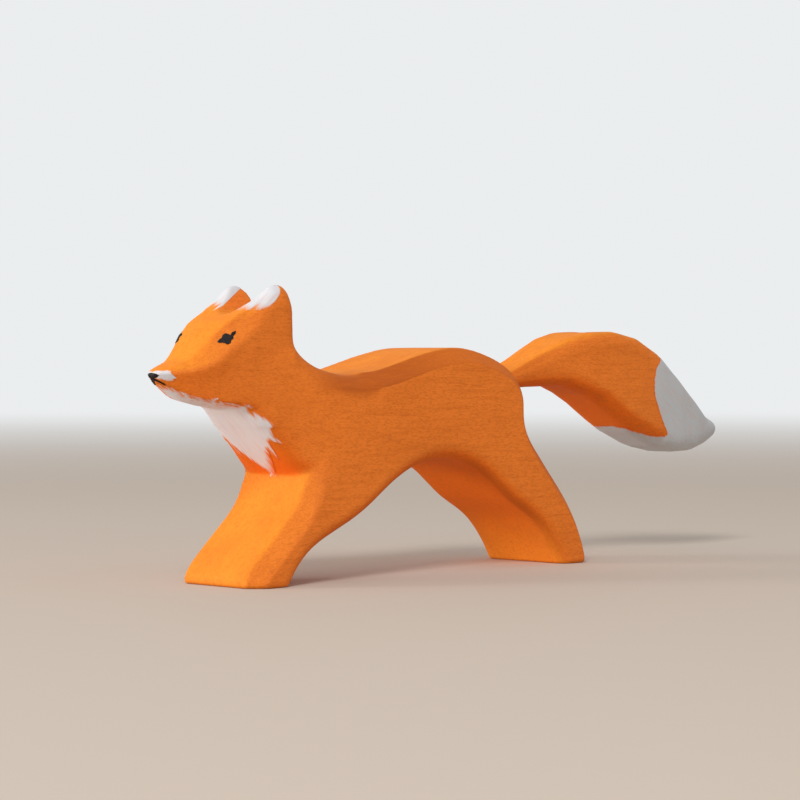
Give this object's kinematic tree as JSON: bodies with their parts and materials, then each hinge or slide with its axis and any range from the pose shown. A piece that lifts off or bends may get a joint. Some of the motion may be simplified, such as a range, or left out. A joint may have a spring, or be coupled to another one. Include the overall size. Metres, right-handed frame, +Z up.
{
  "type": "fox figurine",
  "caption": "Running fox figurine sawn and carved from one board, stained orange, with painted face, ears, blaze and tail tip. Stands on its foot blocks.",
  "frame": {"origin": "centre of the footprint of the figure's bounding box, on the surface it stands on", "axes": "+X from the nose towards the tail, +Y across the board towards the fox's right side, +Z up"},
  "size_m": [0.1766, 0.025, 0.0612],
  "materials": {
    "stained_wood": "orange stain and oil, fine pores, sanded edges",
    "white_paint": "thin matt white paint, brushed on",
    "black_paint": "satin black paint, brushed on"
  },
  "bodies": {
    "root": {"carved_body": "stained_wood", "left_ear_paint": "white_paint", "right_ear_paint": "white_paint", "left_eye_paint": "black_paint", "right_eye_paint": "black_paint", "nose_paint": "black_paint", "mouth_line": "black_paint", "muzzle_paint": "white_paint", "throat_blaze": "white_paint", "tail_tip_paint": "white_paint"}
  },
  "joints": []
}
